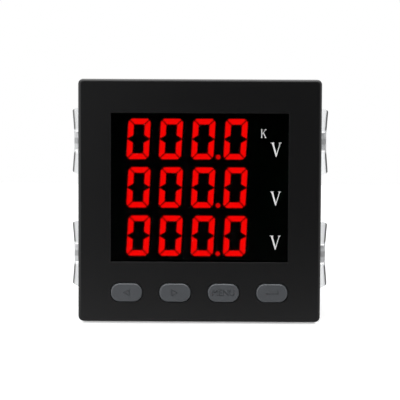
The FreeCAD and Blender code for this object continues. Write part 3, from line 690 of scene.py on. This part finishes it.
class METER_OT_switches(bpy.types.Operator):
    """Finish the switches behind the keys"""
    bl_idname = "meter.switches"
    bl_label = "Key switches"

    def execute(self, context):
        dress(plain_plastic("Black switch plastic", srgb("151515"), 0.45),
              *("switch_body_" + key for key in KEYS))
        dress(plain_plastic("Natural nylon", srgb("c9bda0"), 0.4),
              *("switch_plunger_" + key for key in KEYS))
        return {"FINISHED"}


class METER_OT_clips(bpy.types.Operator):
    """Finish the folded steel spring clips"""
    bl_idname = "meter.clips"
    bl_label = "Spring clips"

    def execute(self, context):
        steel = clip_steel(context.scene.meter_colours.steel, context.scene.meter_sizes)
        dress(steel, *("clip_" + clip for clip in CLIPS))
        return {"FINISHED"}


def screw_row_tree(material):
    """A node tree that makes a row of slotted pan-head screws along X.

    Their heads point up where Head Way is 1, and down where it is -1.
    """
    tree = bpy.data.node_groups.new("Screw row", "GeometryNodeTree")
    for way in ("INPUT", "OUTPUT"):
        tree.interface.new_socket("Geometry", in_out=way, socket_type="NodeSocketGeometry")
    kinds = {int: "NodeSocketInt", float: "NodeSocketFloat", tuple: "NodeSocketVector"}
    defaults = {"Count": 6, "Pitch": 9.5 * MM, "First": (0.0, 0.0, 0.0), "Head Radius": 2.1 * MM,
                "Head Height": 2.0 * MM, "Shank Radius": 1.4 * MM, "Shank Length": 1.6 * MM,
                "Slot Width": 0.6 * MM, "Slot Depth": 0.8 * MM, "Head Way": 1.0}
    for name, value in defaults.items():
        socket = tree.interface.new_socket(name, in_out="INPUT", socket_type=kinds[type(value)])
        socket.default_value = value
    given = add(tree, "NodeGroupInput").outputs

    def raised(mesh, height):
        lift = add(tree, "ShaderNodeCombineXYZ", {"Z": height})
        return add(tree, "GeometryNodeTransform", {"Geometry": mesh, "Translation": lift})

    head = add(tree, "GeometryNodeMeshCylinder", {"Vertices": 28, "Radius": given["Head Radius"],
                                                  "Depth": given["Head Height"]})
    head = raised(head, add(tree, "ShaderNodeMath", (given["Head Height"], 0.5), operation="MULTIPLY"))
    shank = add(tree, "GeometryNodeMeshCylinder", {"Vertices": 16, "Radius": given["Shank Radius"],
                                                   "Depth": given["Shank Length"]})
    shank = raised(shank, add(tree, "ShaderNodeMath", (given["Shank Length"], -0.5), operation="MULTIPLY"))
    slot_size = add(tree, "ShaderNodeCombineXYZ", {
        "X": add(tree, "ShaderNodeMath", (given["Head Radius"], 3.0), operation="MULTIPLY"),
        "Y": given["Slot Width"],
        "Z": add(tree, "ShaderNodeMath", (given["Slot Depth"], 2.0), operation="MULTIPLY")})
    slot = raised(add(tree, "GeometryNodeMeshCube", {"Size": slot_size}), given["Head Height"])
    slotted = add(tree, "GeometryNodeMeshBoolean", {"Mesh 1": head, "Mesh 2": slot},
                  operation="DIFFERENCE", solver="EXACT")
    screw = add(tree, "GeometryNodeJoinGeometry", {"Geometry": [slotted, shank]})
    step = add(tree, "ShaderNodeCombineXYZ", {"X": given["Pitch"]})
    row = add(tree, "GeometryNodeMeshLine", {"Count": given["Count"], "Start Location": given["First"],
                                             "Offset": step}, mode="OFFSET")
    placed = add(tree, "GeometryNodeInstanceOnPoints", {"Points": row, "Instance": screw})
    under = add(tree, "ShaderNodeMath", (1.0, given["Head Way"]), operation="SUBTRACT")
    turn = add(tree, "ShaderNodeMath", (under, math.pi / 2), operation="MULTIPLY")
    turned = add(tree, "GeometryNodeRotateInstances", {
        "Instances": placed, "Rotation": add(tree, "ShaderNodeCombineXYZ", {"X": turn})})
    real = add(tree, "GeometryNodeRealizeInstances", {"Geometry": turned})
    done = add(tree, "GeometryNodeSetMaterial", {"Geometry": real, "Material": material})
    add(tree, "NodeGroupOutput", {"Geometry": done})
    return tree


class METER_OT_terminals(bpy.types.Operator):
    """Finish the terminal blocks, slot their screws and number the poles"""
    bl_idname = "meter.terminals"
    bl_label = "Terminal blocks"

    poles: IntProperty(name="Poles", description="Terminals in each block", min=1, default=6)
    pole_pitch: FloatProperty(name="Pole pitch", description="Distance between terminals",
                              unit="LENGTH", default=9.5 * MM)

    def slotted_screws(self, level, way, tree, sizes, zinc):
        """Puts slotted screws in the place of a block's plain ones."""
        low, high = box_of(level + "_terminal_screws")
        radius = (high.y - low.y) / 2
        seat = low.z + sizes.shank_length if way > 0 else high.z - sizes.shank_length
        mesh = baked(level + "_slotted_screws", tree, {
            "Count": self.poles, "Pitch": self.pole_pitch,
            "First": (low.x + radius, (low.y + high.y) / 2, seat), "Head Radius": radius,
            "Head Height": high.z - low.z - sizes.shank_length, "Shank Length": sizes.shank_length,
            "Slot Width": sizes.slot_width, "Slot Depth": sizes.slot_depth, "Head Way": float(way)})
        screws = new_object(level + "_slotted_screws", smoothed(mesh), zinc)
        fit(screws, CASE_BODY, "screw_zinc", level + "_terminal_screws")

    def pole_numbers(self, level, way, first, sizes, ink):
        """Numbers the poles on the sloping edge of a block, from left to right as seen from behind."""
        low, high = box_of(level + "_terminal_block")
        edge = high.z if way > 0 else low.z
        chamfer = 45
        behind = Matrix.Rotation(math.radians(180), 4, "Z")
        slope = Matrix.Rotation(math.radians(90 - way * chamfer), 4, "X")
        numbers = []
        for i in range(self.poles):
            x = (self.poles - 1) / 2 * self.pole_pitch - i * self.pole_pitch
            spot = Vector((x, high.y - sizes.number_inset, edge - way * sizes.number_inset))
            numbers.append(lettering(str(first + i), sizes.number_height, 2 * sizes.number_depth,
                                     Matrix.Translation(spot) @ behind @ slope))
        piece = new_object(level + "_pole_numbers", merged("numbers", numbers), ink)
        fit(piece, CASE_BODY, "block_green")

    def execute(self, context):
        colours = context.scene.meter_colours
        sizes = context.scene.meter_sizes
        dress(plain_plastic("Green polyamide", colours.terminal, 0.42),
              "upper_terminal_block", "lower_terminal_block")
        zinc = plated_metal("Zinc-plated steel", srgb("c3c6c8"), 0.3)
        dress(plated_metal("Nickel-plated brass", srgb("c9bd9a"), 0.3),
              "upper_terminal_cages", "lower_terminal_cages")
        tree = screw_row_tree(zinc)
        ink = printed_ink(colours.ink)
        for level, way, first in (("upper", 1, 1), ("lower", -1, self.poles + 1)):
            self.slotted_screws(level, way, tree, sizes, zinc)
            self.pole_numbers(level, way, first, sizes, ink)
        return {"FINISHED"}


class METER_OT_boards(bpy.types.Operator):
    """Finish the circuit boards and what stands on them"""
    bl_idname = "meter.boards"
    bl_label = "Boards and components"

    def execute(self, context):
        dress(solder_mask_board(), "display_board", "upper_board", "lower_board")
        dress(plated_metal("Zinc-plated board screws", srgb("b8bcbf"), 0.32), "display_board_screws")
        dress(plain_plastic("Black socket plastic", srgb("121212"), 0.45),
              "upper_link_socket", "lower_link_socket")
        dress(plated_metal("Gold-flashed pins", srgb("d8b565"), 0.25),
              "upper_link_pins", "lower_link_pins")
        dress(plain_plastic("Blue potting case", srgb("1d3f7a"), 0.4),
              *("voltage_transformer_%d" % number for number in (1, 2, 3)))
        dress(plain_plastic("Blue resistor lacquer", srgb("7fa6b8"), 0.35), "input_resistors")
        dress(plain_plastic("Sintered ferrite", srgb("3a3a3d"), 0.6), "power_transformer_core")
        dress(plain_plastic("Yellow polyester tape", srgb("d9b640"), 0.25), "power_transformer_winding")
        dress(plain_plastic("Black capacitor sleeve", srgb("1a1a24"), 0.3),
              "bulk_capacitor", "output_capacitor")
        dress(plain_plastic("Yellow capacitor case", srgb("caa637"), 0.35), "mains_filter_capacitor")
        dress(plain_plastic("Blue dipped ceramic", srgb("2259a0"), 0.35), "surge_varistor")
        dress(plain_plastic("Black chip package", srgb("17171a"), 0.55), "bridge_rectifier",
              "power_controller_chip", "meter_processor_chip", "segment_driver_chip")
        dress(plated_metal("Drawn steel can", srgb("c6c7c9"), 0.28), "crystal")
        return {"FINISHED"}


def studio_world(strength):
    """A white studio. What shines sees it bright behind, above and at both sides, and dark in front."""
    world = bpy.data.worlds.new("Studio")
    bpy.context.scene.world = world
    world.use_nodes = True
    tree = world.node_tree
    tree.nodes.clear()
    path = add(tree, "ShaderNodeLightPath").outputs
    way = add(tree, "ShaderNodeTexCoord").outputs["Generated"]
    axes = add(tree, "ShaderNodeSeparateXYZ", {"Vector": way}).outputs
    # Each part of the room fades in along an axis of the view, from one level of light to another
    part = {}
    for name, axis, start, full, low, high in (
            ("rear", "Y", 0.1, 0.5, 0.0, 1.0), ("straight", "Y", 0.93, 0.99, 1.0, 0.2),
            ("ceiling", "Z", 0.55, 0.85, 0.0, 5.2), ("left", "X", -0.45, -0.85, 0.0, 0.85),
            ("right", "X", 0.4, 0.8, 0.0, 1.4)):
        part[name] = add(tree, "ShaderNodeMapRange", {
            "Value": axes[axis], "From Min": start, "From Max": full, "To Min": low, "To Max": high})
    walls = add(tree, "ShaderNodeMath", (part["rear"], part["straight"]), operation="MULTIPLY")
    bright = add(tree, "ShaderNodeMath", (part["left"], part["right"]), operation="MAXIMUM")
    for more in (walls, part["ceiling"]):
        bright = add(tree, "ShaderNodeMath", (bright, more), operation="MAXIMUM")
    shiny = add(tree, "ShaderNodeMath", (path["Is Glossy Ray"], bright), operation="MULTIPLY")
    through = add(tree, "ShaderNodeMath", (path["Is Transmission Ray"], part["rear"]),
                  operation="MULTIPLY")
    dull = add(tree, "ShaderNodeMath", (1.0, path["Is Glossy Ray"]), operation="SUBTRACT", use_clamp=True)
    level = add(tree, "ShaderNodeMath", (dull, strength), operation="MULTIPLY")
    for more in (path["Is Camera Ray"], through, shiny):
        level = add(tree, "ShaderNodeMath", (level, more), operation="MAXIMUM")
    light = add(tree, "ShaderNodeBackground", {"Color": (1, 1, 1, 1), "Strength": level})
    add(tree, "ShaderNodeOutputWorld", {"Surface": light})


def seamless_paper(low, high):
    """Pale matt paper: it glows white to the eye, except in a box round the meter, where the glow fades
    out as a painted contact shadow over the real shadow.

    What shines sees it grey, and sees less of it the further it is in front of the meter.
    """
    material, tree = new_material("Pale seamless paper")
    path = add(tree, "ShaderNodeLightPath").outputs
    axes = object_axes(tree)
    white, mirrored = 0.65, 0.15
    # Painted shadow: the paper's glow fades out in a box round the meter, reaching past its front and
    # back, so that the paper shows grey there
    side_inset, end_reach = 2.6 * MM, 2 * MM
    glow_outside_shadow_box = []
    for axis, middle, reach, fade in (
            ("X", (low.x + high.x) / 2, (high.x - low.x) / 2 - side_inset, 1 * MM),
            ("Y", (low.y + high.y) / 2, (high.y - low.y) / 2 + end_reach, 5 * MM)):
        offset = add(tree, "ShaderNodeMath", (axes[axis], middle), operation="SUBTRACT")
        glow_outside_shadow_box.append(add(tree, "ShaderNodeMapRange", {
            "Value": add(tree, "ShaderNodeMath", (offset,), operation="ABSOLUTE"),
            "From Min": reach, "From Max": reach + fade, "To Max": white}))
    # The paper's glow, which is cut away inside the box as a painted shadow
    lit = add(tree, "ShaderNodeMath", glow_outside_shadow_box, operation="MAXIMUM")
    shone = add(tree, "ShaderNodeMath", (path["Is Glossy Ray"], mirrored), operation="MULTIPLY")
    paper = add(tree, "ShaderNodeBsdfPrincipled", {
        "Base Color": srgb("f0f0f0"), "Roughness": 0.9, "IOR": 1.3, "Emission Color": (1, 1, 1, 1),
        "Emission Strength": add(tree, "ShaderNodeMath", (path["Is Camera Ray"], lit, shone),
                                 operation="MULTIPLY_ADD")})
    ahead = add(tree, "ShaderNodeMapRange", {"Value": axes["Y"], "From Min": -20 * MM,
                                             "From Max": -200 * MM})
    missed = add(tree, "ShaderNodeMath", (path["Is Glossy Ray"], ahead), operation="MULTIPLY")
    blend = add(tree, "ShaderNodeMixShader", (missed, paper, add(tree, "ShaderNodeBsdfTransparent")))
    add(tree, "ShaderNodeOutputMaterial", {"Surface": blend})
    return material


def softbox(name, power, size, position, target):
    """A soft rectangular lamp that points at a place."""
    light = bpy.data.lights.new(name, "AREA")
    light.shape = "RECTANGLE"
    light.size, light.size_y = size
    light.energy = power
    lamp = bpy.data.objects.new(name, light)
    bpy.context.scene.collection.objects.link(lamp)
    lamp.location = position
    lamp.rotation_euler = (Vector(target) - Vector(position)).to_track_quat("-Z", "Y").to_euler()


def aim_camera(studio, target):
    """The camera, turned, raised and leant about the place that it looks at."""
    data = bpy.data.cameras.new("Camera")
    data.sensor_width = 36
    data.lens = studio.lens
    camera = bpy.data.objects.new("Camera", data)
    bpy.context.scene.collection.objects.link(camera)
    level = math.cos(studio.elevation)
    away = Vector((math.sin(studio.turn) * level, -math.cos(studio.turn) * level,
                   math.sin(studio.elevation)))
    camera.location = target + away * studio.distance
    look = (-away).to_track_quat("-Z", "Y").to_matrix().to_4x4()
    camera.rotation_euler = (look @ Matrix.Rotation(studio.roll, 4, "Z")).to_euler()
    bpy.context.scene.camera = camera


class METER_OT_studio(bpy.types.Operator):
    """Set the camera, the lights and the pale floor"""
    bl_idname = "meter.studio"
    bl_label = "Studio"

    def execute(self, context):
        studio = context.scene.meter_studio
        low, high = box_of("front_bezel")
        target = Vector((studio.aim_right, low.y, (low.z + high.z) / 2 + studio.aim_up))
        aim_camera(studio, target)
        studio_world(studio.sky)
        softbox("Overhead softbox", studio.key_light, size=(0.7, 0.5),
                position=(0.0, -0.25, 0.75), target=target)
        softbox("Left fill", studio.fill_light, size=(0.4, 0.5),
                position=(-0.3, -0.22, 0.04), target=target)
        # The paper lies just under the bezel's lower edge, which the meter stands on
        half_width, front, back = 0.7, -0.2, 0.9
        level = low.z - 0.01 * MM
        corners = [(-half_width, front, level), (half_width, front, level),
                   (half_width, back, level), (-half_width, back, level)]
        mesh = bpy.data.meshes.new("Floor")
        mesh.from_pydata(corners, [], [(0, 1, 2, 3)])
        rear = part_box("housing")[1][1]
        paper = seamless_paper(low, Vector((high.x, rear, high.z)))
        new_object("Floor", mesh, paper)
        context.scene.view_settings.view_transform = "Standard"
        return {"FINISHED"}


class METER_PT_sidebar(bpy.types.Panel):
    """Lists the meter's colours, sizes, studio and steps"""
    bl_idname = "METER_PT_sidebar"
    bl_label = "Panel meter"
    bl_space_type = "VIEW_3D"
    bl_region_type = "UI"
    bl_category = "Meter"

    def draw(self, context):
        for group in ("meter_colours", "meter_sizes", "meter_studio"):
            settings = getattr(context.scene, group)
            for name in settings.bl_rna.properties.keys():
                if name not in ("rna_type", "name"):
                    self.layout.prop(settings, name)
        for operator in OPERATORS:
            self.layout.operator(operator.bl_idname)


OPERATORS = (METER_OT_case, METER_OT_window, METER_OT_digits, METER_OT_keys, METER_OT_switches,
             METER_OT_clips, METER_OT_terminals, METER_OT_boards, METER_OT_studio)
GROUPS = {"meter_colours": MeterColours, "meter_sizes": MeterSizes, "meter_studio": StudioSettings}


def register():
    for kind in (*GROUPS.values(), *OPERATORS, METER_PT_sidebar):
        bpy.utils.register_class(kind)
    for name, kind in GROUPS.items():
        setattr(bpy.types.Scene, name, PointerProperty(type=kind))


def unregister():
    for name in GROUPS:
        delattr(bpy.types.Scene, name)
    for kind in reversed((*GROUPS.values(), *OPERATORS, METER_PT_sidebar)):
        bpy.utils.unregister_class(kind)


def main():
    """Dresses the frame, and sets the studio."""
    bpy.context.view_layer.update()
    register()
    bpy.ops.meter.case()
    bpy.ops.meter.window()
    bpy.ops.meter.digits()
    bpy.ops.meter.keys()
    bpy.ops.meter.switches()
    bpy.ops.meter.clips()
    bpy.ops.meter.terminals()
    bpy.ops.meter.boards()
    bpy.ops.meter.studio()


if __name__ == "__main__":
    main()
